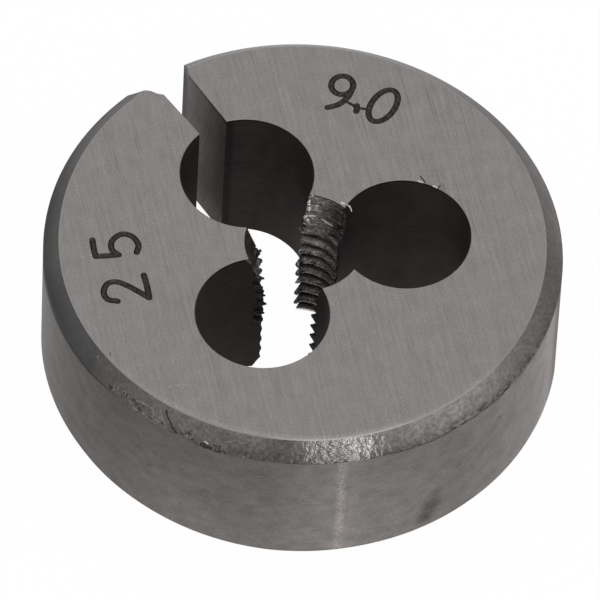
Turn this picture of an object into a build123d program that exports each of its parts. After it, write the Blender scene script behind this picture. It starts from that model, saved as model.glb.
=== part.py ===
from build123d import *
import os
from math import radians, tan

# Split round threading die, cut from one piece of hardened tool steel.
# Millimetres. The origin is on the thread axis at the back face, +Z points to the start face,
# and the adjusting slot opens towards +Y.

# Blank: a turned disc with the same bevel on both rims
die_diameter = 25.0
die_thickness = 9.0
bevel_width = 0.8
bevel_height = 0.9

# Threaded bore, drawn at the crests of its M5 x 0.8 thread, with a tapered mouth on each side
crest_diameter = 4.2
start_mouth_diameter = 5.75
start_mouth_depth = 2.5
back_mouth_diameter = 4.85
back_mouth_depth = 0.7

# Chip holes: they break into the bore and leave the cutting lands standing between them
chip_hole_count = 3
chip_hole_diameter = 6.46
chip_circle_diameter = 9.6

# Adjusting slot: sawn a little off centre, and sprung open towards the rim
slot_width_at_hole = 1.52
slot_width_at_rim = 1.78
slot_offset = 0.23

# V at the mouth of the slot, where the spreading screw of a die holder seats
mouth_width = 3.3
mouth_angle = 64.0

rim_radius = die_diameter / 2
face_radius = rim_radius - bevel_width
crest_radius = crest_diameter / 2
chip_hole_radius = chip_hole_diameter / 2
chip_circle_radius = chip_circle_diameter / 2
slot_start = chip_circle_radius
slot_neck = chip_circle_radius + chip_hole_radius
mouth_half_slope = tan(radians(mouth_angle / 2))
mouth_depth = mouth_width / 2 / mouth_half_slope
cut_overrun = 1.0

with BuildPart() as round_die:
    # Turned section from the bore out to the rim. One turn gives the disc, both bevels,
    # the bore at its crests and the taper that leads into it on each side.
    with BuildSketch(Plane.XZ):
        with BuildLine():
            Polyline(
                (crest_radius, back_mouth_depth),
                (back_mouth_diameter / 2, 0),
                (face_radius, 0),
                (rim_radius, bevel_height),
                (rim_radius, die_thickness - bevel_height),
                (face_radius, die_thickness),
                (start_mouth_diameter / 2, die_thickness),
                (crest_radius, die_thickness - start_mouth_depth),
                close=True,
            )
        make_face()
    revolve(axis=Axis.Z)

    # Chip holes drilled through on one circle, the first of them in line with the slot
    with PolarLocations(chip_circle_radius, chip_hole_count, start_angle=90):
        Hole(chip_hole_radius)

    # Slot through the wall between the first chip hole and the rim
    spread = (slot_width_at_rim - slot_width_at_hole) / (rim_radius - slot_neck)
    start_width = slot_width_at_hole - spread * (slot_neck - slot_start)
    end_width = slot_width_at_rim + spread * cut_overrun
    with BuildSketch():
        with BuildLine():
            Polyline(
                (slot_offset - start_width / 2, slot_start),
                (slot_offset + start_width / 2, slot_start),
                (slot_offset + end_width / 2, rim_radius + cut_overrun),
                (slot_offset - end_width / 2, rim_radius + cut_overrun),
                close=True,
            )
        make_face()
    extrude(amount=die_thickness, mode=Mode.SUBTRACT)

    # V milled across the rim, as wide as mouth_width where its sides meet the outline
    mouth_rim = (rim_radius**2 - (mouth_width / 2) ** 2) ** 0.5
    outer_half = mouth_width / 2 + mouth_half_slope * cut_overrun
    with BuildSketch():
        with BuildLine():
            Polyline(
                (0, mouth_rim - mouth_depth),
                (outer_half, mouth_rim + cut_overrun),
                (-outer_half, mouth_rim + cut_overrun),
                close=True,
            )
        make_face()
    extrude(amount=die_thickness, mode=Mode.SUBTRACT)

round_die.part.label = "round_die"

os.makedirs("parts", exist_ok=True)
export_step(round_die.part, "parts/round_die.step")
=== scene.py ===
from math import cos, exp, pi, radians, sin, sqrt, tan

import bpy
import numpy as np
from mathutils import Matrix, Vector


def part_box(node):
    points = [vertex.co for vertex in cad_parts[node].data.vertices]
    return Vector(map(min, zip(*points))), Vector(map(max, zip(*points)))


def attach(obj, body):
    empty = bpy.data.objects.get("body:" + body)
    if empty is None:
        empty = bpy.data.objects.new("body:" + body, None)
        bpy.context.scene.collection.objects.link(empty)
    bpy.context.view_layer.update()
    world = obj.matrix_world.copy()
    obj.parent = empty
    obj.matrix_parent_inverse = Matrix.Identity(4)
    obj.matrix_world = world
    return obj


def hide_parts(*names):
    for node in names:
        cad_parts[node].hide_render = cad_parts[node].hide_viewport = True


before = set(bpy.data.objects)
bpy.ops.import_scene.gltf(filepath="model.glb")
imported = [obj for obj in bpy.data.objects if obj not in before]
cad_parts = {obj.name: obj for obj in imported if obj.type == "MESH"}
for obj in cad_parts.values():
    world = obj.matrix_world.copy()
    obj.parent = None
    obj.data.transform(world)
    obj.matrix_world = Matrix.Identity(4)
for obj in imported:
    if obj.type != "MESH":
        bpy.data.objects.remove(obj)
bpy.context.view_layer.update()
mm = 0.001


# The blank is a disc of tool steel, turned with the same bevel on both rims and then hardened.
# Only its faces are ground after that, so each face ends in a thin bright edge, with a painted
# highlight on it towards the lamp, and the bevel keeps its scale, which is smooth on one side and
# rough and pitted towards the other.
low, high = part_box("round_die")
rim_clearance = 0.002 * mm
rim_radius = (high.x - low.x) / 2 - rim_clearance
thickness = high.z
bevel_width = 0.8 * mm
face_radius = rim_radius - bevel_width
bevel_height = 0.9 * mm
back_corner_round = 0.02 * mm
edge_land = 0.04 * mm
corner_round = 0.025 * mm
round_steps = 1080
bevel_steps = 12
rim_steps = 6
grain_low = 0.3
grain_high = 0.7


def finish(name, color, roughness, metallic=1.0, **sockets):
    """A plain steel surface, which the nodes of its section then build on."""
    made = bpy.data.materials.new(name)
    made.use_nodes = True
    shader = made.node_tree.nodes["Principled BSDF"]
    shader.inputs["Base Color"].default_value = (*color, 1)
    shader.inputs["Roughness"].default_value = roughness
    shader.inputs["Metallic"].default_value = metallic
    for key, value in sockets.items():
        shader.inputs[key.replace("_", " ")].default_value = value
    return made


def node(material, kind, inputs, output=0, **settings):
    """Adds a shader node and returns one of its outputs, to be an input of the next."""
    made = material.node_tree.nodes.new("ShaderNode" + kind)
    for key, value in settings.items():
        setattr(made, key, value)
    for key, value in inputs.items():
        if isinstance(value, bpy.types.NodeSocket):
            material.node_tree.links.new(value, made.inputs[key])
        else:
            made.inputs[key].default_value = value
    return made.outputs[output]


def math(material, operation, *inputs):
    return node(material, "Math", dict(enumerate(inputs)), operation=operation)


def feed(material, **sockets):
    """Links outputs to the surface's own sockets, named with _ for a space."""
    shader = material.node_tree.nodes["Principled BSDF"]
    for key, value in sockets.items():
        material.node_tree.links.new(value, shader.inputs[key.replace("_", " ")])


def ramp(material, value, *stops):
    """Turns a value into a colour or a grey, through stops of (value, colour or grey)."""
    made = material.node_tree.nodes.new("ShaderNodeValToRGB")
    for _ in stops[2:]:
        made.color_ramp.elements.new(0.5)
    for element, (position, color) in zip(made.color_ramp.elements, stops):
        element.position = position
        element.color = (*np.broadcast_to(color, 3), 1)
    material.node_tree.links.new(value, made.inputs["Fac"])
    return made.outputs["Color"]


def spot(material):
    """Where the surface is, in metres in the die's own frame."""
    return node(material, "TexCoord", {}, output="Object")


def place(material, axis):
    return node(material, "SeparateXYZ", {0: spot(material)}, output=axis)


def share_of(material, axis, whole):
    """One coordinate of the surface, as a share of a length."""
    return math(material, "MULTIPLY", place(material, axis), 1 / whole)


def span(material, value, start, end):
    """How far a value has come from start to end, from 0 to 1."""
    return node(material, "MapRange", {"Value": value, "From Min": start, "From Max": end})


def level(material, low_height, high_height):
    """How far up from one height to another the surface is, from 0 to 1."""
    return span(material, place(material, "Z"), low_height, high_height)


def times(material, color, other):
    return node(material, "VectorMath", {0: color, 1: other}, operation="MULTIPLY")


def apart(material, where, point):
    """How far the surface is from a point."""
    return node(material, "VectorMath", {0: where, 1: point}, output="Value", operation="DISTANCE")


def from_line(material, x, y):
    """How far the surface is from an upright line at x and y."""
    return apart(material, times(material, spot(material), (1, 1, 0)), (x, y, 0))


def compass(material):
    """How far round the die from its slot, anticlockwise, from 0 to 1."""
    away_from_slot = math(material, "MULTIPLY", place(material, "Y"), -1.0)
    angle = math(material, "ARCTAN2", place(material, "X"), away_from_slot)
    return math(material, "MULTIPLY_ADD", angle, 1 / (2 * pi), 0.5)


def bearing(azimuth):
    """What the compass reads at an azimuth in degrees from +X."""
    return (azimuth - 90) % 360 / 360


def round_ramp(material, *stops):
    """A ramp round the die, with each stop at its azimuth in degrees from +X."""
    return ramp(material, compass(material), *[(bearing(azimuth), color) for azimuth, color in stops])


def grain(material, size, detail=2.0, turn=0.0, tilt=0.0, shift=0.0):
    """Noise with grains of a size in millimetres, or of one each along x, y and z, which are then
    turned about z or tilted about x."""
    scale = [side * mm for side in np.broadcast_to(size, 3)]
    mapping = {"Vector": spot(material), "Location": [shift * mm] * 3, "Rotation": (tilt, 0, turn),
               "Scale": scale}
    placed = node(material, "Mapping", mapping, vector_type="TEXTURE")
    return node(material, "TexNoise", {"Vector": placed, "Scale": 1.0, "Detail": detail})


def tint(material, color, *layers):
    """Multiplies a colour by greys, layer by layer. A layer is an amount, the tones for little and
    much of it, and a fourth number or value where it doesn't lie on equally all over."""
    for amount, low_tone, high_tone, *where in layers:
        limits = {"Value": amount, "From Min": grain_low, "From Max": grain_high,
                  "To Min": low_tone - 1, "To Max": high_tone - 1}
        change = node(material, "MapRange", limits)
        tone = math(material, "MULTIPLY_ADD", change, *(where or [1.0]), 1.0)
        color = times(material, color, tone)
    return color


def between(material, share, color, other):
    """One colour where the share is 0 and the other where it is 1."""
    return node(material, "Mix", {0: share, 6: color, 7: other}, output=2, data_type="RGBA")


def bump(material, height, distance):
    """Relief as deep as distance, in millimetres."""
    return node(material, "Bump", {"Height": height, "Distance": distance * mm})


def skin(name, rows, finishes, closed=False):
    """A closed mesh over rows of points. Each row is a loop, and open ends get flat caps.
    finishes has one material for each strip, and for open ends one more for each cap."""
    rows = np.asarray(rows, float)
    count, around, _ = rows.shape
    faces, used = [], []
    for j in range(count if closed else count - 1):
        here, there = j * around, (j + 1) % count * around
        for i in range(around):
            k = (i + 1) % around
            faces.append((here + i, here + k, there + k, there + i))
            used.append(j)
    if not closed:
        faces.append(tuple(reversed(range(around))))
        faces.append(tuple(range((count - 1) * around, count * around)))
        used += [count - 1, count]
    mesh = bpy.data.meshes.new(name)
    mesh.from_pydata(rows.reshape(-1, 3).tolist(), [], faces)
    kinds = list(dict.fromkeys(finishes))
    for kind in kinds:
        mesh.materials.append(kind)
    if len(finishes) == 1:
        finishes = list(finishes) * (count + 1)
    for face, strip in zip(mesh.polygons, used):
        face.material_index = kinds.index(finishes[strip])
    made = bpy.data.objects.new(name, mesh)
    bpy.context.scene.collection.objects.link(made)
    return made


def ring(radius, height, angles):
    """Points at a radius and height, either of which may change with the angle."""
    radius = np.broadcast_to(radius, angles.shape)
    height = np.broadcast_to(height, angles.shape)
    return np.stack([radius * np.cos(angles), radius * np.sin(angles), height], axis=1)


steel_tone = (0.246, 0.232, 0.228)
lay_angle = radians(66.5)
stray_angle = 0.03
ground_face = finish("ground_face", steel_tone, 0.46)
lay_turn = lay_angle - pi / 2
fine_lay = grain(ground_face, (0.06, 1.1, 1.0), detail=3.0, turn=lay_turn)
long_lay = grain(ground_face, (0.15, 5.0, 1.0), detail=3.0, turn=lay_turn)
deep_lay = grain(ground_face, (0.12, 6.0, 1.0), turn=lay_turn + stray_angle, shift=3.0)
deep_lay = ramp(ground_face, deep_lay, (0.28, 0.0), (0.41, 1.0))
cross_lay = grain(ground_face, (1.2, 0.09, 1.0), turn=lay_turn, shift=6.0)
pores = grain(ground_face, 0.10)
clouds = grain(ground_face, 0.9, detail=3.0)
near_right_edge = ramp(ground_face, share_of(ground_face, "X", rim_radius), (0.30, 0.5), (0.85, 1.0))
color = tint(
    ground_face, steel_tone, (fine_lay, 0.945, 1.055), (long_lay, 0.92, 1.075), (cross_lay, 0.98, 1.02),
    (pores, 0.89, 1.11), (deep_lay, 0.76, 1.0, near_right_edge), (clouds, 0.945, 1.055),
)
# The face is painted lighter just inside its edge, mostly round the side towards the lamp: a painted
# highlight.
highlight_from = face_radius - 0.30 * mm
highlight_to = face_radius - 0.02 * mm
edge_highlight = span(ground_face, from_line(ground_face, 0, 0), highlight_from, highlight_to)
highlight_round = round_ramp(ground_face, (91, 0.0), (176, 0.0), (196, 0.40), (222, 0.45), (238, 1.0),
                          (254, 1.0), (264, 0.3), (278, 0.6), (292, 0.0), (440, 0.0))
edge_highlight = math(ground_face, "MULTIPLY", edge_highlight, highlight_round)
color = tint(ground_face, color, (pores, 1.20, 1.60, edge_highlight))
feed(ground_face, Base_Color=color, Normal=bump(ground_face, fine_lay, 0.002))

bright_edge = finish("bright_edge", (0.27, 0.26, 0.255), 0.45)
edge_hue = (1.03, 0.99, 0.975)
# The edge is lighter round the side towards the lamp: a painted highlight over the ground edge's own tone.
edge_tone_and_highlight = round_ramp(bright_edge, (91, 0.29), (100, 0.25), (225, 0.25), (236, 0.40), (256, 0.38),
                       (264, 0.30), (278, 0.31), (290, 0.25), (10, 0.24), (45, 0.29), (80, 0.30))
feed(bright_edge, Base_Color=times(bright_edge, edge_tone_and_highlight, edge_hue))

bevel_scale = finish("bevel_scale", (0.1, 0.1, 0.1), 0.23, Specular_Tint=(0.56, 0.56, 0.56, 1))
rough_scale = round_ramp(bevel_scale, (91, 0.22), (172, 0.22), (196, 0.7), (225, 1.0), (262, 0.9),
                         (330, 0.45), (440, 0.3))
# The tones round the bevel and up it carry painted light and shade as well as the scale's own colour.
low_tone = round_ramp(
    bevel_scale, (91, 0.06), (112, 0.096), (134, 0.061), (150, 0.063), (160, 0.05), (176, 0.06),
    (180.5, 0.062), (182, 0.078), (190, 0.09), (200, 0.116), (214, 0.104), (230, 0.086), (244, 0.1),
    (254, 0.104), (264, 0.165), (272, 0.18), (282, 0.15), (304, 0.104), (318, 0.11), (330, 0.165),
    (350, 0.2), (5, 0.17), (30, 0.096), (60, 0.074),
)
high_tone = round_ramp(
    bevel_scale, (91, 0.08), (112, 0.133), (134, 0.085), (150, 0.09), (160, 0.069), (176, 0.074),
    (180.5, 0.077), (182, 0.09), (190, 0.103), (204, 0.136), (216, 0.13), (223, 0.14), (231, 0.096),
    (238, 0.132), (246, 0.14), (256, 0.178), (264, 0.225), (272, 0.255), (281, 0.222), (290, 0.168),
    (300, 0.136), (318, 0.098), (334, 0.145), (350, 0.174), (5, 0.158), (30, 0.094), (60, 0.078),
)
blue_grey = (1.0, 1.012, 0.998, 1)
brown_grey = (1.0, 0.944, 0.916, 1)
brown_share = round_ramp(
    bevel_scale, (91, 0.5), (112, 0.56), (134, 0.2), (150, 0.2), (160, 0.0), (176, 0.0), (180.5, 0.17),
    (182, 1.0), (214, 0.87), (230, 0.88), (244, 0.62), (272, 0.43), (282, 0.96), (440, 1.0),
)
bevel_share = level(bevel_scale, thickness - 0.85 * bevel_height, thickness - 0.25 * bevel_height)
color = between(bevel_scale, bevel_share, low_tone, high_tone)
color = times(bevel_scale, color, between(bevel_scale, brown_share, blue_grey, brown_grey))
speckles = grain(bevel_scale, 0.17, detail=3.0)
fine_grain = grain(bevel_scale, 0.09, shift=8.0)
# Ragged darkening towards the bevel's foot is painted shade of a groove along the corner, which the mesh
# doesn't have.
corner_flecks = ramp(bevel_scale, grain(bevel_scale, (0.32, 0.32, 0.16), detail=3.0, shift=2.0),
            (0.42, 0.0), (0.56, 1.0))
corner_shade_round = round_ramp(bevel_scale, (91, 0.0), (196, 0.0), (206, 0.5), (224, 0.4), (250, 0.3), (262, 0.7),
                         (280, 1.0), (298, 1.0), (306, 0.4), (312, 0.0), (440, 0.0))
corner_shade = math(bevel_scale, "MULTIPLY", level(bevel_scale, 8.42 * mm, 8.16 * mm), corner_shade_round)
patches = grain(bevel_scale, (0.55, 0.55, 0.4), detail=3.0, shift=5.0)
color = tint(bevel_scale, color, (speckles, 0.72, 1.28, rough_scale), (fine_grain, 0.93, 1.07),
             (patches, 0.80, 1.16, rough_scale), (corner_flecks, 0.48, 1.0, corner_shade))
sparkle = round_ramp(bevel_scale, (91, 0.05), (172, 0.05), (196, 0.35), (230, 0.30), (238, 0.75),
                     (243, 1.0), (247, 0.70), (254, 0.30), (330, 0.3), (440, 0.2))
height = math(bevel_scale, "MULTIPLY", speckles, sparkle)
feed(bevel_scale, Base_Color=color, Normal=bump(bevel_scale, height, 0.040))

turned_rim = finish("turned_rim", (0.17, 0.16, 0.156), 0.34, Anisotropic=0.98, Anisotropic_Rotation=0.25,
                    Specular_Tint=(0.78, 0.78, 0.78, 1))
rim_hue = (1.01, 0.936, 0.907)
# The tones round the rim and up it carry painted light and shade as well as the steel's own colour.
low_tone = round_ramp(
    turned_rim, (91, 0.13), (150, 0.128), (176, 0.113), (190, 0.128), (206, 0.173), (222, 0.168),
    (238, 0.2), (262, 0.21), (270, 0.176), (300, 0.212), (309, 0.25), (314, 0.13), (345, 0.11),
    (440, 0.165),
)
high_tone = round_ramp(
    turned_rim, (91, 0.14), (156, 0.138), (172, 0.106), (188, 0.092), (206, 0.114), (228, 0.134),
    (236, 0.17), (262, 0.17), (270, 0.16), (300, 0.232), (309, 0.27), (314, 0.11), (345, 0.1),
    (440, 0.175),
)
color = between(turned_rim, level(turned_rim, 1.4 * mm, 7.2 * mm), low_tone, high_tone)
color = times(turned_rim, color, rim_hue)
turned_lines = grain(turned_rim, (1.6, 1.6, 0.04), detail=3.0)
smudges = grain(turned_rim, (0.9, 0.9, 0.7), detail=3.0, shift=2.0)
ragged = grain(turned_rim, (0.2, 0.2, 0.12), detail=3.0, shift=4.0)
fine_grain = grain(turned_rim, (0.10, 0.10, 0.07), shift=7.0)
dark_specks = ramp(turned_rim, grain(turned_rim, (0.16, 0.16, 0.13), shift=9.0),
                   (0.69, 0.0), (0.75, 1.0))
scale_end = round_ramp(turned_rim, (91, 0.805), (110, 0.765), (130, 0.722), (144, 0.708), (150, 0.736),
                       (158, 0.760), (168, 0.770), (180, 0.788), (187, 0.808), (194, 0.83), (440, 0.83))
scale_reach = 10 * mm
over_end = math(turned_rim, "SUBTRACT", share_of(turned_rim, "Z", scale_reach), scale_end)
over_end = math(turned_rim, "ADD", over_end, math(turned_rim, "MULTIPLY_ADD", ragged, 0.02, -0.01))
scaled = span(turned_rim, over_end, -0.012, 0.006)
# A dark ragged line just under the bevel's corner is painted shade of a groove that the mesh doesn't have.
dark_round = round_ramp(turned_rim, (91, 0.0), (204, 0.0), (210, 0.6), (216, 1.0), (220, 0.2), (256, 0.3),
                        (262, 1.0), (300, 1.0), (308, 0.0), (440, 0.0))
corner_line = math(turned_rim, "MULTIPLY", level(turned_rim, 7.92 * mm, 8.03 * mm), dark_round)
# A narrow ragged light streak at one azimuth of the rim is a painted highlight, standing in for the lamp's
# reflection.
wander = grain(turned_rim, (9, 9, 0.9), detail=3.0)
wander = math(turned_rim, "MULTIPLY_ADD", wander, 0.002, -0.001)
wandered = math(turned_rim, "ADD", compass(turned_rim), wander)
streak_azimuth = 243.4
off_line = math(turned_rim, "ABSOLUTE", math(turned_rim, "SUBTRACT", wandered, bearing(streak_azimuth)))
painted_streak = span(turned_rim, off_line, 0.0038, 0.0006)
line_specks = ramp(turned_rim, grain(turned_rim, 0.085, shift=3.0), (0.46, 0.0), (0.60, 1.0))
color = tint(
    turned_rim, color, (turned_lines, 1.00, 1.18), (smudges, 0.85, 1.10), (ragged, 0.92, 1.08),
    (fine_grain, 0.88, 1.12), (dark_specks, 1.0, 0.72), (line_specks, 1.08, 1.75, painted_streak),
    (ragged, 0.55, 0.85, corner_line),
)
scale_tone = (0.025, 0.025, 0.024, 1)
color = between(turned_rim, scaled, color, scale_tone)
smudge_core = 0.3
smudge_change = 0.22
smudge_marks = (
    (266.0, 3.40, 0.46, 0.56), (265.2, 2.65, 0.74, 0.50), (264.4, 2.00, 0.84, 0.48),
    (263.6, 1.45, 0.60, 0.54), (215, 4.0, 1.3, 0.80), (280, 5.0, 1.4, 0.80), (226, 6.9, 0.8, 0.80),
    (234, 5.1, 0.6, 0.82), (178.8, 3.5, 0.7, 0.80), (199.5, 4.5, 0.25, 0.62), (285.2, 2.8, 0.3, 0.70),
    (283.6, 6.2, 0.25, 0.66), (272.0, 4.7, 0.22, 0.70), (276.8, 3.4, 0.22, 0.72),
)
for azimuth, height, size, dark in smudge_marks:
    angle = radians(azimuth)
    centre = Vector((rim_radius * cos(angle), rim_radius * sin(angle), height * mm))
    distance = apart(turned_rim, spot(turned_rim), centre)
    smudge = span(turned_rim, distance, size * mm, smudge_core * size * mm)
    color = tint(turned_rim, color, (ragged, dark, dark + smudge_change, smudge))
tangent = node(turned_rim, "Tangent", {}, direction_type="RADIAL", axis="Z")
feed(turned_rim, Base_Color=color, Tangent=tangent, Normal=bump(turned_rim, turned_lines, 0.003))

turn = np.linspace(0, 2 * pi, round_steps, endpoint=False)
chance = np.random.default_rng(25)


def by_azimuth(*pairs):
    """A size round the disc, through pairs of (azimuth in degrees from +X, size)."""
    places, sizes = zip(*pairs)
    return np.interp(np.degrees(turn), places, sizes, period=360)


def speckle(rows, blur):
    """Roughness over rows of the disc's skin, with grains blur steps wide."""
    field = chance.normal(0, 1, (rows, round_steps))
    field = sum(np.roll(field, k, axis=1) for k in range(-blur, blur + 1))
    field[1:-1] += (field[:-2] + field[2:]) / 2
    return field / field.std()


face_shift = by_azimuth(
    (0, -0.040), (10, -0.035), (30, -0.020), (60, 0.0), (100, 0.0), (120, 0.020), (140, 0.035),
    (150, 0.055), (160, 0.074), (172, 0.070), (200, 0.048), (220, 0.026), (240, 0.0), (270, -0.037),
    (300, -0.065), (320, -0.065), (330, -0.050), (340, -0.062), (350, -0.045),
)
face_edge = face_radius + face_shift * mm
relief = by_azimuth((150, 0.5), (185, 1), (200, 5), (228, 5), (244, 6), (254, 2.5), (300, 2.5), (345, 1))
relief = relief * 0.001 * mm
top_wear = 6
top_nicks = ((187.3, 0.9, 0.16), (211.6, 0.6, 0.22), (213.7, 0.5, 0.14), (216.7, 0.6, 0.20),
             (223.0, 0.8, 0.10), (262.0, 0.7, 0.10), (269.3, 0.5, 0.20), (277.2, 0.8, 0.14),
             (284.0, 1.2, 0.10))


def bevelled_end(rim, bevel_fall, corner_round, wear, nicks):
    """Rows from the face's edge to the rim, each as (radius, depth below the face)."""
    bevel_run = rim - face_edge
    bevel_length = np.hypot(bevel_run, bevel_fall)
    fall = bevel_fall / bevel_length
    reach = bevel_run / bevel_length
    corner = corner_round + relief * wear * np.clip(speckle(1, 6)[0], -0.4, 2.0)
    for azimuth, width, size in nicks:
        away = (np.degrees(turn) - azimuth + 180) % 360 - 180
        corner = corner + size * mm * np.exp(-(away / width) ** 2)
    # Both corners are rounded through one more row, a quarter of the way in
    rows = [(face_edge - edge_land, 0 * turn)]
    rows += [(face_edge + edge_land * (reach - 1) / 4, edge_land * fall / 4)]
    dents = relief * np.clip(1 + speckle(bevel_steps, 1), 0, 3)
    dents[0] = 0
    for step in range(bevel_steps):
        along = edge_land + (bevel_length - corner - edge_land) * step / (bevel_steps - 1)
        rows += [(face_edge + reach * along - fall * dents[step], fall * along + reach * dents[step])]
    rows += [(rim - corner * reach / 4, bevel_fall + corner * (1 - fall) / 4)]
    rows += [(rim, bevel_fall + corner)]
    return rows


# The bevels aren't quite even in height, and the rim stands a little proud low down on the right
front_bevel = by_azimuth(
    (20, 0.90), (90, 0.90), (130, 0.91), (150, 0.96), (165, 1.00), (180, 0.94), (192, 0.90),
    (258, 0.90), (264, 0.93), (278, 0.85), (300, 0.83), (314, 0.845), (330, 0.835), (345, 0.86),
) * mm
back_bevel = by_azimuth(
    (150, 0.85), (164, 0.93), (171, 0.97), (178, 0.98), (186, 0.91), (200, 0.89), (212, 0.84),
    (228, 0.79), (238, 0.82), (250, 0.865), (276, 0.85), (290, 0.75), (304, 0.60), (312, 0.50),
    (330, 0.50), (350, 0.85),
) * mm
low_swell = by_azimuth((300, 0), (309, 0.04), (318, 0.11), (324, 0.11), (334, 0.03), (342, 0)) * mm
low_rim = rim_radius + low_swell
below = bevelled_end(low_rim, back_bevel, back_corner_round, 0, ())
above = bevelled_end(rim_radius + 0 * turn, front_bevel, corner_round, top_wear, top_nicks)
rows = [ring(radius, depth, turn) for radius, depth in below]
foot = below[-1][1]
rise = thickness - above[-1][1] - foot
for step in range(1, rim_steps):
    share = step / rim_steps
    rows += [ring(rim_radius + low_swell * (1 - share), foot + rise * share, turn)]
rows += [ring(radius, thickness - depth, turn) for radius, depth in reversed(above)]
end_strips = [bright_edge, bright_edge] + [bevel_scale] * bevel_steps + [turned_rim]
strips = end_strips + [turned_rim] * rim_steps + end_strips[::-1]
die = skin("threading_die", rows, strips + [ground_face, ground_face])


def shape(piece, operation):
    """Takes a piece's solid away from the die, or welds it on, with the piece's own finish."""
    tool = die.modifiers.new("shape", "BOOLEAN")
    tool.operation = operation
    tool.solver = "MANIFOLD"
    tool.material_mode = "TRANSFER"
    tool.object = piece
    whole = bpy.context.evaluated_depsgraph_get()
    result = bpy.data.meshes.new_from_object(die.evaluated_get(whole))
    die.modifiers.remove(tool)
    die.data = result
    bpy.data.objects.remove(piece)


def cut(piece):
    shape(piece, "DIFFERENCE")


# Size numbers are engraved in both places on the ground face where such a die is marked. The tool
# was dragged between two of them and left a fine line. The grooves are round-bottomed and dark.


def mottled(name, tone, roughness, size, low_tone, high_tone, detail=2.0):
    """A finish with one even grain in its tone."""
    made = finish(name, tone, roughness)
    feed(made, Base_Color=tint(made, tone, (grain(made, size, detail), low_tone, high_tone)))
    return made


groove_finish = mottled("engraved_groove", (0.040, 0.035, 0.033), 0.5, 0.12, 0.5, 1.8)
stroke_radius = 0.17 * mm
stroke_depth = 0.11 * mm
drag_radius = 0.10 * mm
drag_depth = 0.045 * mm
stroke_sides = 12
base_line = 7.9 * mm


def smooth(points, steps=10):
    """A curve through the points, with straight entry and exit."""
    points = np.asarray(points, float)
    padded = np.vstack([2 * points[0] - points[1], points, 2 * points[-1] - points[-2]])
    path = []
    for a, b, c, d in zip(padded, padded[1:], padded[2:], padded[3:]):
        for t in np.linspace(0, 1, steps, endpoint=False):
            path.append(0.5 * ((2 * b) + (c - a) * t + (2 * a - 5 * b + 4 * c - d) * t**2
                               + (3 * b - a - 3 * c + d) * t**3))
    path.append(points[-1])
    return np.array(path)


def oval(centre, width, height, lean=0.0, steps=40):
    """A leaning oval, as the closed stroke of a number."""
    angles = np.linspace(0, 2 * pi, steps, endpoint=False)
    across = width / 2 * np.cos(angles)
    up = height / 2 * np.sin(angles)
    return np.stack([centre[0] + across + lean * up, centre[1] + up], axis=1)


def tube(name, path, widths, material, closed=False):
    """A round stroke along a path, as thick as widths says. Open ends are round too."""
    path = np.asarray(path, float)
    widths = np.broadcast_to(widths, len(path))
    if closed:
        along = np.roll(path, -1, axis=0) - np.roll(path, 1, axis=0)
    else:
        along = np.gradient(path, axis=0)
    along /= np.linalg.norm(along, axis=1)[:, None]
    if not closed:
        caps = np.linspace(0, pi / 2, 5)[1:-1]
        head = [path[0] - along[0] * widths[0] * sin(a) for a in reversed(caps)]
        tail = [path[-1] + along[-1] * widths[-1] * sin(a) for a in caps]
        path = np.vstack([head, path, tail])
        widths = np.concatenate([widths[0] * np.cos(caps[::-1]), widths, widths[-1] * np.cos(caps)])
        along = np.vstack([[along[0]] * len(head), along, [along[-1]] * len(tail)])
    across = np.cross((0, 0, 1), along)
    across /= np.linalg.norm(across, axis=1)[:, None]
    upward = np.cross(along, across)
    sides = np.linspace(0, 2 * pi, stroke_sides, endpoint=False)[:, None]
    rows = [centre + width * (np.cos(sides) * side + np.sin(sides) * up)
            for centre, width, side, up in zip(path, widths, across, upward)]
    return skin(name, rows, [material], closed)


def groove(name, path, radius, depth, material, closed=False):
    """Cuts a round-bottomed groove along a path on the top face."""
    axis = np.column_stack([path, np.full(len(path), thickness + radius - depth)])
    cut(tube(name, axis, radius, material, closed))


def on_face(points, direction):
    """Moves strokes, drawn with x to the right and y up from the base line, to the marked place.
    direction is the way up of the number, as an angle on the face."""
    up = np.array([cos(direction), sin(direction)])
    right = np.array([sin(direction), -cos(direction)])
    return points[:, :1] * right + (points[:, 1:] + base_line) * up


left_mark = radians(156)
right_mark = radians(36)
strokes = {
    "two": (left_mark, [(-2.06, 1.58), (-1.86, 2.02), (-1.42, 2.13), (-0.98, 1.88), (-0.92, 1.45),
                        (-1.18, 1.02), (-1.66, 0.50), (-2.12, 0.05)]),
    "two_foot": (left_mark, [(-2.12, 0.05), (-1.40, 0.03), (-0.76, 0.06)]),
    "five_bar": (left_mark, [(0.72, 2.12), (1.20, 2.13), (1.70, 2.10)]),
    "five_stem": (left_mark, [(0.72, 2.12), (0.66, 1.60), (0.62, 1.02)]),
    "five_bowl": (left_mark, [(0.62, 1.02), (0.98, 1.28), (1.48, 1.18), (1.80, 0.68), (1.58, 0.18),
                              (1.05, -0.02), (0.62, 0.14)]),
    "nine_tail": (right_mark, [(-0.70, 1.52), (-0.74, 0.95), (-1.02, 0.38), (-1.46, 0.02)]),
    "point": (right_mark, [(-0.16, 0.62), (-0.10, 0.42), (-0.08, 0.28)]),
}
for name, (direction, points) in strokes.items():
    groove(name, on_face(smooth(points) * mm, direction), stroke_radius, stroke_depth, groove_finish)
nine_loop = oval((-1.22 * mm, 1.55 * mm), 1.06 * mm, 1.14 * mm)
nought = oval((1.04 * mm, 1.06 * mm), 1.16 * mm, 2.10 * mm, lean=0.12)
for name, path in (("nine_loop", nine_loop), ("nought", nought)):
    groove(name, on_face(path, right_mark), stroke_radius, stroke_depth, groove_finish, closed=True)
drag = smooth([(-0.86, 0.70), (-0.50, 0.62), (-0.12, 0.52), (0.24, 0.56), (0.52, 0.64)])
groove("drag_line", on_face(drag * mm, right_mark), drag_radius, drag_depth, groove_finish)

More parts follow.
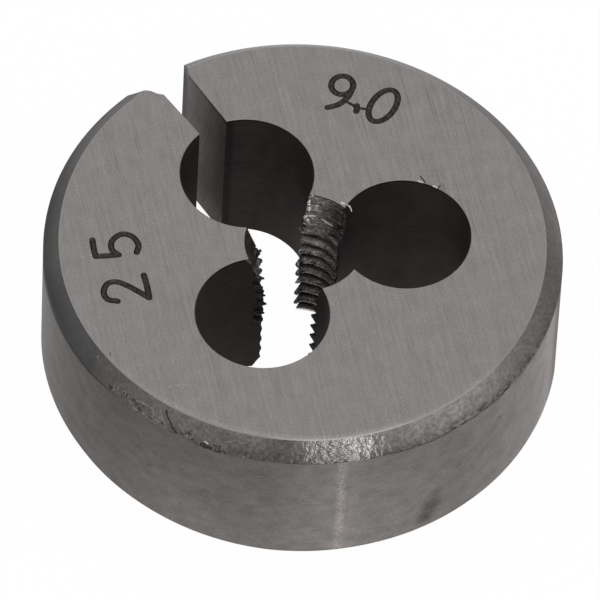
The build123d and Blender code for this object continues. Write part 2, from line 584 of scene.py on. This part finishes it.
# The bore is threaded right-handed, a little off the middle of the blank, and each face has a
# tapered mouth that starts the rod. The crests of the cut thread are torn and partly rolled over
# where the chip holes end them, and the grooves stay dark between bright crests.
pitch = 0.8 * mm
crest_radius = 2.13 * mm
root_radius = 2.56 * mm
bore_x = -0.08 * mm
bore_y = -0.12 * mm
thread_start = 0.422 * mm
thread_lean = 0.175 * mm
thread_lean_azimuth = radians(99)
thread_steps = 360
thread_overrun = 2 * pitch
profile = [(-0.40, 1.00), (-0.345, 0.97), (-0.29, 0.84), (-0.20, 0.50), (-0.12, 0.17), (-0.06, 0.03),
           (0.0, 0.0), (0.06, 0.03), (0.12, 0.17), (0.20, 0.50), (0.29, 0.84), (0.345, 0.97)]
turns = int((thickness + 2 * thread_overrun) / pitch) + 1
first_turn = -2

thread_finish = finish("cut_thread", (0.16, 0.15, 0.145), 0.4)
distance = from_line(thread_finish, bore_x, bore_y)
depth_share = span(thread_finish, distance, crest_radius, root_radius)
streaks = grain(thread_finish, (0.5, 0.5, 0.05), detail=3.0)
specks = grain(thread_finish, (0.10, 0.10, 0.07))
depth_share = math(thread_finish, "ADD", depth_share,
                   math(thread_finish, "MULTIPLY_ADD", specks, 0.5, -0.25))
color = ramp(thread_finish, depth_share, (0.0, (0.21, 0.20, 0.19)), (0.25, (0.15, 0.142, 0.136)),
             (0.55, (0.045, 0.041, 0.038)), (0.85, (0.014, 0.012, 0.011)))
# The light specks on the crests are partly torn metal and partly painted glints.
color = tint(thread_finish, color, (streaks, 0.6, 1.5),
             (ramp(thread_finish, specks, (0.52, 0.0), (0.62, 1.0)), 0.9, 2.3))
# The thread is painted darker further down the bore: painted shade.
bore_depth_shade = ramp(thread_finish, share_of(thread_finish, "Z", thickness),
               (0.15, 0.42), (0.45, 0.50), (0.62, 0.70), (0.80, 1.0))
color = times(thread_finish, color, bore_depth_shade)
lit_round = round_ramp(thread_finish, (91, 1.0), (345, 1.0), (0, 0.0), (16, 0.0), (30, 0.8), (50, 1.0))
color = tint(thread_finish, color, (lit_round, 0.55, 1.0))
feed(thread_finish, Base_Color=color, Normal=bump(thread_finish, streaks, 0.02))

angles = np.linspace(0, 2 * pi, thread_steps, endpoint=False)
tear_length = 25
tear_size = 0.014 * mm
tear = np.cumsum(chance.normal(0, 1, (turns + 1) * thread_steps))
tear -= np.convolve(tear, np.ones(tear_length) / tear_length, mode="same")
tear = np.clip(tear / tear.std(), -2, 2) * tear_size
edge_azimuth = 57.5
edge_spread = 4.5
edge_tears = (-0.02, -0.15, -0.22, -0.08, -0.22, -0.33, -0.05, 0.05, 0.03, 0.10)
rolled_edges = ((172, 13, 0.075, 0.86, 0.0), (118, 6, 0.035, 0.80, 4.5))
dragged_azimuth = 5
dragged_spread = 14
dragged_drop = 0.22 * mm
smeared_azimuth = 35
smeared_spread = 24
smeared_height = 7.25 * mm
smeared_reach = 0.38 * mm
smeared_fill = 0.85


def near(value, centre, spread):
    return exp(-((value - centre) / spread) ** 2)


points, column = [], {}
per_turn = len(profile)
row_count = turns * per_turn
for i, angle in enumerate(angles):
    azimuth = i * 360 / thread_steps
    at_edge = near(azimuth, edge_azimuth, edge_spread)
    dragged = dragged_drop * near((azimuth - dragged_azimuth + 180) % 360, 180, dragged_spread)
    rows_here = row_count + (per_turn if i == 0 else 0)
    for j in range(rows_here):
        lap, step = divmod(j, per_turn)
        offset, depth = profile[step]
        height = thread_start + pitch * (first_turn + lap + angle / (2 * pi)) + offset * mm
        height -= thread_lean * cos(angle - thread_lean_azimuth) + dragged
        crest = first_turn + lap
        torn = edge_tears[crest] * mm * at_edge if 0 <= crest < len(edge_tears) else 0
        filled = smeared_fill * near(azimuth, smeared_azimuth, smeared_spread)
        filled *= near(height, smeared_height, smeared_reach)
        rolled = 0
        for rolled_azimuth, rolled_spread, roll, fill, lowest in rolled_edges:
            here = near(azimuth, rolled_azimuth, rolled_spread) * (height > lowest * mm)
            filled = max(filled, fill * here)
            rolled += roll * mm * here
        radius = crest_radius - rolled + depth * (1 - filled) * (root_radius - crest_radius)
        radius += (1 - depth) * (torn + tear[(lap * thread_steps + i) % len(tear)])
        column[i, j] = len(points)
        points.append((bore_x + radius * cos(angle), bore_y + radius * sin(angle), height))
for j in range(row_count):
    column[thread_steps, j] = column[0, j + per_turn]
faces = []
for i in range(thread_steps):
    for j in range(row_count - 1):
        faces.append((column[i, j], column[i + 1, j], column[i + 1, j + 1], column[i, j + 1]))
bottom = [column[i, 0] for i in range(thread_steps + 1)]
bottom += [column[0, j] for j in range(per_turn - 1, 0, -1)]
top = [column[i, row_count - 1] for i in range(thread_steps + 1)]
top += [column[0, row_count + j] for j in range(per_turn - 2, -1, -1)]
points += [(bore_x, bore_y, -thread_overrun), (bore_x, bore_y, thickness + thread_overrun)]
for loop, centre, flip in ((bottom, len(points) - 2, True), (top, len(points) - 1, False)):
    for a, b in zip(loop, loop[1:] + loop[:1]):
        faces.append((b, a, centre) if flip else (a, b, centre))
mesh = bpy.data.meshes.new("tap")
mesh.from_pydata(points, [], faces)
mesh.materials.append(thread_finish)
tap = bpy.data.objects.new("tap", mesh)
bpy.context.scene.collection.objects.link(tap)
cut(tap)

# The taper that leads the rod in is scored round and rubbed bright in places, and is painted
# lighter round one side of the bore as painted light
lead_finish = finish("lead_taper", (0.17, 0.16, 0.155), 0.38)
lead_lines = grain(lead_finish, (0.7, 0.7, 0.09), detail=3.0)
lead_scores = grain(lead_finish, (0.16, 0.16, 0.14), detail=3.0, shift=2.0)
lead_patches = grain(lead_finish, (0.6, 0.6, 0.4), shift=5.0)
lead_tone = (0.205, 0.188, 0.175)
color = tint(lead_finish, lead_tone, (lead_lines, 0.45, 1.65))
lead_lit_round = round_ramp(lead_finish, (91, 0.5), (2, 0.3), (16, 0.35), (28, 0.7), (40, 1.0), (60, 1.0))
color = tint(lead_finish, color, (lead_lit_round, 0.62, 1.5), (lead_scores, 0.65, 1.4),
             (lead_patches, 0.8, 1.25), (level(lead_finish, 8.80 * mm, 8.95 * mm), 1.0, 0.6))
rough_lead = math(lead_finish, "ADD", lead_lines, lead_scores)
feed(lead_finish, Base_Color=color, Normal=bump(lead_finish, rough_lead, 0.03))
start_mouth_radius = 2.86 * mm
start_mouth_depth = 2.5 * mm
back_mouth_radius = 2.425 * mm
back_mouth_depth = 0.7 * mm
overrun = 1.0 * mm
mouth_turn = np.linspace(0, 2 * pi, 160, endpoint=False)


def mouth(name, radius, depth, face, away):
    """Cuts a tapered mouth, radius wide at the face, down to the crests at depth."""
    taper = (radius - crest_radius) / depth
    outer = ring(radius + taper * overrun, face + away * overrun, mouth_turn)
    inner = ring(crest_radius - taper * overrun, face - away * (depth + overrun), mouth_turn)
    rows = [inner, outer] if away > 0 else [outer, inner]
    cut(skin(name, np.array(rows) + (bore_x, bore_y, 0), [lead_finish]))


mouth("start_mouth", start_mouth_radius, start_mouth_depth, thickness, 1)
mouth("back_mouth", back_mouth_radius, back_mouth_depth, 0, -1)

# Three chip holes are reamed through beside the bore and break into it, which leaves the thread
# standing on three lands. They keep the near black scale of the hardening, over faint rings.
hole_tone = (0.027, 0.0215, 0.0205)
hole_finish = finish("chip_hole_wall", hole_tone, 0.6, metallic=0.6, Specular_Tint=(0.5, 0.48, 0.47, 1))
hole_rings = grain(hole_finish, (1.2, 1.2, 0.08), detail=3.0)
hole_clouds = grain(hole_finish, (0.8, 0.8, 1.6))
color = tint(hole_finish, hole_tone, (hole_rings, 0.78, 1.22), (hole_clouds, 0.8, 1.2))
# The wall is painted darker beside the slot's corner: painted shade.
slot_corner_x = 1.12 * mm
slot_corner_y = 7.84 * mm
slot_corner_shade = span(hole_finish, from_line(hole_finish, slot_corner_x, slot_corner_y), 0.30 * mm, 0.16 * mm)
color = tint(hole_finish, color, (hole_rings, 0.15, 0.6, slot_corner_shade),
             (level(hole_finish, 8.78 * mm, 8.90 * mm), 1.0, 0.5))
hole_rim = finish("chip_hole_rim", steel_tone, 0.55)
feed(hole_finish, Base_Color=color, Normal=bump(hole_finish, hole_rings, 0.01))
hole_radius = 3.244 * mm
hole_circle = 4.778 * mm
holes = (("chip_hole_slot", 89.7, hole_circle, hole_radius),
         ("chip_hole_left", 210.2, 4.781 * mm, 3.225 * mm),
         ("chip_hole_right", 330.3, 4.846 * mm, 3.217 * mm))
edge_break = 0.03 * mm
ring_depth = 0.006 * mm
ring_count = 36
wall_height = thickness - 2 * edge_break
hole_turn = np.linspace(0, 2 * pi, 144, endpoint=False)
for name, azimuth, from_axis, radius in holes:
    centre = np.array([cos(radians(azimuth)), sin(radians(azimuth)), 0]) * from_axis
    levels = [(edge_break + overrun, -overrun), (0, edge_break)]
    for step in range(1, ring_count):
        wider = ring_depth * chance.uniform(-1, 1)
        levels.append((wider, edge_break + wall_height * step / ring_count))
    levels += [(0, thickness - edge_break), (edge_break + overrun, thickness + overrun)]
    walls = [hole_rim] + [hole_finish] * ring_count + [hole_rim, hole_finish, hole_finish]
    rows = [centre + ring(radius + wider, height, hole_turn) for wider, height in levels]
    cut(skin(name, rows, walls))

# The adjusting slot is sawn a little off centre and sprung open towards the rim. At its mouth a V
# is milled across the rim, where the spreading screw of a holder seats.
slot_finish = finish("sawn_slot_wall", (0.06, 0.056, 0.054), 0.55, Specular_Tint=(0.6, 0.58, 0.57, 1))
saw_marks = grain(slot_finish, (1.0, 0.10, 2.5), detail=3.0, tilt=radians(14))
slot_clouds = grain(slot_finish, 0.9)
# The wall is painted lighter towards its open end at the rim, and darker inwards and downwards: painted
# shade.
inwards = share_of(slot_finish, "Y", rim_radius)
color = ramp(slot_finish, inwards, (0.64, (0.118, 0.108, 0.104)), (0.80, (0.192, 0.178, 0.172)),
             (0.96, (0.212, 0.196, 0.191)))
color = tint(slot_finish, color, (saw_marks, 0.78, 1.22), (slot_clouds, 0.92, 1.08),
             (level(slot_finish, 0.0, 6.0 * mm), 0.62, 1.0))
top_shadow = ramp(slot_finish, inwards, (0.64, 1.0), (0.78, 0.8), (0.88, 0.45), (0.92, 0.2))
top_shadow = math(slot_finish, "MULTIPLY", level(slot_finish, 8.62 * mm, 8.96 * mm), top_shadow)
color = tint(slot_finish, color, (slot_clouds, 0.25, 0.45, top_shadow))
feed(slot_finish, Base_Color=color, Normal=bump(slot_finish, saw_marks, 0.01))
seat_tone = (0.125, 0.116, 0.112)
seat_finish = finish("milled_screw_seat", seat_tone, 0.5, Specular_Tint=(0.45, 0.45, 0.45, 1))
color = tint(seat_finish, seat_tone, (grain(seat_finish, (0.8, 0.8, 0.08)), 0.82, 1.18),
             (level(seat_finish, 7.6 * mm, 8.8 * mm), 0.80, 1.45))
feed(seat_finish, Base_Color=color)
seat_right_x = 1.13 * mm
seat_right_y = 11.30 * mm
slot_width_in = 1.52 * mm
slot_width_out = 1.78 * mm
slot_shift = 0.23 * mm
mouth_width = 3.3 * mm
mouth_angle = radians(64)


def prism(name, outline, material):
    """Cuts a straight prism through the whole thickness. The outline runs anticlockwise."""
    rows = [np.column_stack([outline, np.full(len(outline), height)])
            for height in (-overrun, thickness + overrun)]
    cut(skin(name, rows, [material]))


slot_neck = hole_circle + hole_radius
spread = (slot_width_out - slot_width_in) / (rim_radius - slot_neck)
width_in = slot_width_in - spread * hole_radius
width_out = slot_width_out + spread * overrun
prism("slot", [(slot_shift - width_in / 2, hole_circle), (slot_shift + width_in / 2, hole_circle),
               (slot_shift + width_out / 2, rim_radius + overrun),
               (slot_shift - width_out / 2, rim_radius + overrun)], slot_finish)

mouth_rim = sqrt(rim_radius**2 - (mouth_width / 2) ** 2)
mouth_depth = mouth_width / 2 / tan(mouth_angle / 2)
half_out = mouth_width / 2 + overrun * tan(mouth_angle / 2)
right_lean = (mouth_width / 2 - seat_right_x) / (mouth_rim - seat_right_y)
worn_tip = [(-1.45 * mm, 11.92 * mm), (-1.22 * mm, 11.62 * mm), (-1.02 * mm, 11.44 * mm),
            (-0.95 * mm, 11.33 * mm), (-0.87 * mm, 11.18 * mm), (-0.75 * mm, 11.02 * mm),
            (-0.58 * mm, 10.87 * mm)]
prism("screw_seat", [(0, mouth_rim - mouth_depth), (seat_right_x, seat_right_y),
                     (mouth_width / 2 + right_lean * overrun, mouth_rim + overrun),
                     (-half_out, mouth_rim + overrun)] + worn_tip, seat_finish)

# Burrs were left where the chip holes and the thread break out of the steel: thin curls and beads
# of the same metal, bright where they were rubbed and brighter still with painted glints. Use has
# dented the edge of the right hole, and scratched, cracked and chipped the face's edge and the bevel,
# with a trace of rust at the left.
bright_burr = mottled("bright_burr", (0.50, 0.49, 0.48), 0.32, 0.09, 0.45, 1.5, detail=3.0)
dull_burr = mottled("dull_burr", (0.11, 0.102, 0.098), 0.5, 0.1, 0.4, 1.8)
scratch = finish("light_scratch", (0.21, 0.20, 0.195), 0.5)
rubbed_scratch = finish("rubbed_scratch", (0.33, 0.315, 0.31), 0.5)
rust = finish("rust_stain", (0.165, 0.130, 0.105), 0.6)
crack = finish("dark_crack", (0.055, 0.050, 0.048), 0.6)
burr_top = 8.998
uneven = (0.8, 1.2)
burrs = {
    "curl_at_right_hole": (bright_burr, (0.03, 0.05, 0.05, 0.04, 0.03), [
        (2.88, 0.60, 8.95), (2.95, 0.52, 8.95), (2.99, 0.40, 8.93), (2.97, 0.27, 8.91), (2.94, 0.17, 8.89)]),
    "corner_tip": (bright_burr, (0.04, 0.08, 0.03), [
        (1.98, 1.98, 8.93), (1.90, 1.94, 8.93), (1.83, 1.96, 8.88)]),
    "left_edge": (bright_burr, (0.04, 0.10, 0.12, 0.07, 0.11, 0.05), [
        (1.76, 1.95, 8.66), (1.71, 1.93, 8.50), (1.69, 1.90, 8.33), (1.69, 1.86, 8.22), (1.66, 1.83, 8.10),
        (1.67, 1.80, 7.98)]),
    "hook": (bright_burr, (0.03, 0.06, 0.05, 0.11, 0.11, 0.13, 0.06), [
        (1.80, 1.53, 7.80), (1.67, 1.66, 7.78), (1.54, 1.77, 7.74), (1.46, 1.82, 7.67), (1.47, 1.79, 7.60),
        (1.51, 1.71, 7.50), (1.54, 1.64, 7.37)]),
    "ridge_end": (dull_burr, (0.03, 0.06, 0.04), [
        (1.72, 1.82, 8.10), (1.86, 1.66, 8.02), (1.98, 1.48, 7.98)]),
    "scored_line": (bright_burr, (0.018, 0.028, 0.028, 0.018), [
        (2.00, 1.24, 7.73), (2.08, 1.09, 7.68), (2.14, 0.96, 7.64), (2.24, 0.68, 7.62)]),
    "first_crest": (dull_burr, (0.07, 0.07, 0.05), [
        (1.06, 1.72, 7.20), (1.14, 1.71, 7.06), (1.24, 1.69, 6.94)]),
    "right_edge": (crack, (0.04, 0.09, 0.06, 0.14, 0.08, 0.15, 0.07, 0.13, 0.05, 0.09), [
        (2.70, 0.38, 8.62), (2.66, 0.34, 8.40), (2.61, 0.29, 8.11), (2.53, 0.26, 7.80), (2.44, 0.20, 7.55),
        (2.35, 0.12, 7.29), (2.28, 0.06, 7.00), (2.24, 0.03, 6.70)]),
    "left_corner": (dull_burr, (0.05, 0.07, 0.05), [
        (-2.96, 0.60, 8.93), (-2.88, 0.55, 8.82), (-2.76, 0.50, 8.62)]),
    "far_corner": (dull_burr, (0.05, 0.07, 0.06), [
        (-1.28, 1.74, 7.16), (-1.20, 1.82, 6.92), (-1.10, 1.94, 6.72)]),
}
for name, (material, widths, points) in burrs.items():
    path = smooth(points, 6)
    widths = np.interp(np.linspace(0, 1, len(path)), np.linspace(0, 1, len(widths)), widths)
    widths = widths * chance.uniform(*uneven, len(path))
    path[:, 2] = np.minimum(path[:, 2], burr_top - widths)
    shape(tube(name, path * mm, widths * mm, material), "UNION")
bead_places = ((-2.45, 0.32, 7.40), (-2.49, 0.34, 6.70), (-2.36, 0.27, 5.99), (-2.29, 0.23, 5.29),
               (-2.37, 0.27, 4.57), (-2.40, 0.29, 3.96))
bead_path = ((-0.09, 0.03, 0.10), (0, 0, 0), (0.14, -0.07, -0.05), (0.26, -0.16, -0.08))
bead_widths = (0.06, 0.13, 0.11, 0.05)
for number, centre in enumerate(bead_places):
    path = np.add(bead_path, centre)
    widths = bead_widths * chance.uniform(*uneven, len(path))
    shape(tube("bead_%d" % number, path * mm, widths * mm, crack), "UNION")
dents = {
    "land_corner": (bright_burr, 0.07, 0.035, [(2.78, 0.78), (2.84, 0.66)]),
    "first_dent": (bright_burr, 0.06, 0.05, [(6.60, -0.18), (6.74, -0.38)]),
    "first_scratch": (groove_finish, 0.035, 0.03, [(6.86, -0.06), (6.86, -0.28), (6.84, -0.46)]),
    "second_dent": (bright_burr, 0.07, 0.06, [(7.05, -0.86), (7.13, -1.04)]),
    "second_hollow": (seat_finish, 0.40, 0.03, [(7.46, -1.02), (7.38, -1.30)]),
    "second_scratch": (groove_finish, 0.035, 0.03, [(7.16, -1.10), (7.32, -1.03)]),
    "face_scratch": (rubbed_scratch, 0.03, 0.010, [(-10.35, -3.47), (-10.20, -3.53)]),
    "middle_scratch": (rubbed_scratch, 0.03, 0.010, [(-10.02, -3.60), (-9.80, -3.70)]),
    "end_scratch": (rubbed_scratch, 0.03, 0.010, [(-9.66, -3.76), (-9.50, -3.83)]),
    "short_scratch": (rubbed_scratch, 0.03, 0.010, [(-9.72, -4.82), (-9.56, -4.86)]),
    "rust_line": (rust, 0.035, 0.012, [(-11.50, -0.30), (-11.56, -0.44)]),
}
for name, (material, radius, depth, path) in dents.items():
    groove(name, np.array(path) * mm, radius * mm, depth * mm, material)


def scar(name, material, points, radius, depth):
    """Cuts a scratch into the bevel or the rim, through points of (azimuth, height in millimetres)."""
    steps_apart = 3
    shake = 0.15
    path = []
    for azimuth, height in points:
        place_round = azimuth / 360 * round_steps
        edge = np.interp(place_round, range(round_steps), face_edge)
        fall = np.interp(place_round, range(round_steps), front_bevel)
        run = rim_radius - edge
        down = thickness - height * mm
        slope = np.array((fall, run) if down < fall else (1, 0))
        slope = slope / np.linalg.norm(slope) * (radius - depth)
        out = min(edge + down * run / fall, rim_radius) + slope[0]
        angle = radians(azimuth)
        path.append((out * cos(angle), out * sin(angle), height * mm + slope[1]))
    steps = np.linspace(0, len(path) - 1, steps_apart * (len(path) - 1) + 1)
    path = np.column_stack([np.interp(steps, range(len(path)), axis) for axis in zip(*path)])
    path += chance.normal(0, shake * radius, path.shape)
    cut(tube(name, path, radius * chance.uniform(0.6, 1.15, len(path)), material))


scars = (
    (scratch, 0.06, 0.03, [(180.0, 8.72), (180.4, 8.66)]),
    (rust, 0.035, 0.022, [(182.0, 8.92), (183.2, 8.76), (184.6, 8.56)]),
    (crack, 0.09, 0.06, [(186.8, 8.22), (187.4, 8.24)]),
    (scratch, 0.05, 0.03, [(187.8, 8.30), (188.2, 8.18)]),
    (scratch, 0.06, 0.03, [(190.4, 8.46), (191.4, 8.38), (192.0, 8.42)]),
    (scratch, 0.05, 0.03, [(192.6, 8.30), (193.4, 8.26)]),
    (scratch, 0.06, 0.04, [(194.4, 8.50), (195.8, 8.55), (197.2, 8.56)]),
    (crack, 0.04, 0.03, [(193.6, 8.40), (195.2, 8.40), (196.4, 8.44)]),
    (scratch, 0.07, 0.04, [(194.4, 8.17), (195.4, 8.18)]),
    (scratch, 0.05, 0.03, [(198.2, 8.58), (199.0, 8.50), (199.4, 8.36)]),
    (crack, 0.06, 0.045, [(201.6, 8.76), (202.2, 8.62), (203.6, 8.44), (204.4, 8.30), (205.9, 8.18)]),
    (scratch, 0.045, 0.03, [(200.4, 8.66), (201.2, 8.50), (202.4, 8.34), (202.9, 8.24)]),
    (scratch, 0.045, 0.03, [(205.6, 8.58), (206.4, 8.42), (207.6, 8.34)]),
    (scratch, 0.045, 0.03, [(208.0, 8.24), (209.0, 8.20), (209.6, 8.30)]),
    (crack, 0.045, 0.03, [(207.0, 8.22), (208.2, 8.34), (208.8, 8.48)]),
    (groove_finish, 0.12, 0.09, [(212.0, 8.12), (213.0, 8.08), (213.9, 8.10)]),
    (bright_burr, 0.05, 0.03, [(212.4, 8.30), (213.2, 8.26)]),
    (crack, 0.10, 0.07, [(215.4, 8.05), (216.3, 8.07), (217.2, 8.06)]),
    (scratch, 0.045, 0.03, [(217.4, 8.54), (218.4, 8.58)]),
    (scratch, 0.045, 0.03, [(219.8, 8.66), (220.8, 8.62), (221.4, 8.66)]),
    (scratch, 0.045, 0.03, [(253.8, 8.80), (255.2, 8.70), (256.0, 8.60)]),
    (crack, 0.03, 0.022, [(255.0, 8.10), (257.5, 8.07), (259.2, 8.05)]),
    (crack, 0.035, 0.026, [(260.6, 8.07), (262.4, 8.02), (264.4, 7.97), (266.6, 8.01), (268.6, 8.07)]),
    (groove_finish, 0.09, 0.065, [(269.3, 8.10), (269.9, 8.09)]),
    (crack, 0.035, 0.026, [(271.4, 8.12), (273.2, 8.08), (275.6, 8.10), (276.6, 8.13)]),
    (crack, 0.045, 0.030, [(277.2, 8.12), (279.0, 8.05), (281.0, 8.04), (282.8, 8.02)]),
    (crack, 0.05, 0.035, [(283.4, 8.08), (285.0, 8.12), (286.6, 8.14)]),
)
for number, (material, radius, depth, points) in enumerate(scars):
    scar("scar_%d" % number, material, points, radius * mm, depth * mm)

# Fine chips lie along the foot of the bevel at the lower left, dark and light in turn
chip_finishes = (crack, scratch, dull_burr, crack)
chip_count = 44
chip_azimuths = (188, 196, 206, 222)
chip_heights = (8.30, 8.36, 8.24, 8.14)
chip_depth = 0.028 * mm
for number in range(chip_count):
    azimuth = chance.uniform(chip_azimuths[0], chip_azimuths[-1])
    height = np.interp(azimuth, chip_azimuths, chip_heights) + chance.normal(0, 0.09)
    length = chance.uniform(0.15, 0.7)
    rise = chance.normal(0, 0.05)
    radius = chance.uniform(0.04, 0.08) * mm
    material = chip_finishes[number % len(chip_finishes)]
    points = [(azimuth, height), (azimuth + length, height + rise)]
    scar("chip_%d" % number, material, points, radius, chip_depth)


# The finished die is one piece of hardened steel, with nothing fixed to it. Its turned, drilled and
# threaded surfaces are round, and its ground faces, its slot and its screw seat are flat.
flat_finishes = (ground_face, slot_finish, seat_finish)
crease_angle = radians(32)
for face in die.data.polygons:
    face.use_smooth = die.data.materials[face.material_index] not in flat_finishes
die.data.set_sharp_from_angle(angle=crease_angle)
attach(die, "root")
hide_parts("round_die")

# The floor is a white table, which the camera and the steel's own gloss both see as plain white.
# The studio light is even from all sides, with one small soft lamp low at the front.
floor_finish = finish("white_floor", (0.9, 0.9, 0.9), 0.6, metallic=0.0)
floor_side = 6.0
floor_drop = 0.02 * mm
floor_glow = 0.985
mesh = bpy.data.meshes.new("floor")
half = floor_side / 2
mesh.from_pydata([(-half, -half, -floor_drop), (half, -half, -floor_drop),
                  (half, half, -floor_drop), (-half, half, -floor_drop)], [], [(0, 1, 2, 3)])
mesh.materials.append(floor_finish)
floor = bpy.data.objects.new("floor", mesh)
bpy.context.scene.collection.objects.link(floor)
tree = floor_finish.node_tree
rays = tree.nodes.new("ShaderNodeLightPath")
seen = math(floor_finish, "MAXIMUM", rays.outputs["Is Camera Ray"], rays.outputs["Is Glossy Ray"])
seen = math(floor_finish, "MAXIMUM", seen, rays.outputs["Is Transmission Ray"])
share = math(floor_finish, "MULTIPLY", seen, floor_glow)
white = node(floor_finish, "Emission", {"Color": (1, 1, 1, 1), "Strength": 1.0})
mixed = node(floor_finish, "MixShader", {0: share, 1: tree.nodes["Principled BSDF"].outputs[0], 2: white})
tree.links.new(mixed, tree.nodes["Material Output"].inputs["Surface"])

world = bpy.data.worlds.new("studio")
bpy.context.scene.world = world
world.use_nodes = True
background = world.node_tree.nodes["Background"]
background.inputs["Color"].default_value = (1, 1, 1, 1)
background.inputs["Strength"].default_value = 1.0


def from_compass(azimuth, elevation):
    """The direction at an angle round the die, from +X, and an angle above the floor."""
    return Vector((cos(azimuth) * cos(elevation), sin(azimuth) * cos(elevation), sin(elevation)))


def lamp(name, azimuth, elevation, distance, width, height, watts):
    light = bpy.data.lights.new(name, "AREA")
    light.shape = "RECTANGLE"
    light.size = width
    light.size_y = height
    light.energy = watts
    made = bpy.data.objects.new(name, light)
    towards = from_compass(radians(azimuth), radians(elevation))
    made.location = towards * distance
    made.rotation_mode = "QUATERNION"
    made.rotation_quaternion = towards.to_track_quat("Z", "Y")
    bpy.context.scene.collection.objects.link(made)


lamp("front_lamp", azimuth=252, elevation=29, distance=0.6, width=0.05, height=0.10, watts=0.42)

# The camera stands above and in front, with the slot away to the left. It is about 0.4 m off and
# holds a long lens, so the die's sides hardly draw together.
aim = Vector((1.805, 2.293, 0)) * mm
camera_azimuth = radians(231.72)
camera_elevation = radians(54.17)
camera_distance = 411.7 * mm
camera_roll = radians(3.63)
camera_lens = 503.9
sensor_width = 36
camera = bpy.data.objects.new("camera", bpy.data.cameras.new("camera"))
camera.data.sensor_width = sensor_width
camera.data.lens = camera_lens
back = from_compass(camera_azimuth, camera_elevation)
camera.location = aim + back * camera_distance
camera.rotation_mode = "QUATERNION"
roll = Matrix.Rotation(camera_roll, 3, "Z").to_quaternion()
camera.rotation_quaternion = back.to_track_quat("Z", "Y") @ roll
bpy.context.scene.collection.objects.link(camera)
bpy.context.scene.camera = camera
bpy.context.scene.view_settings.view_transform = "Standard"
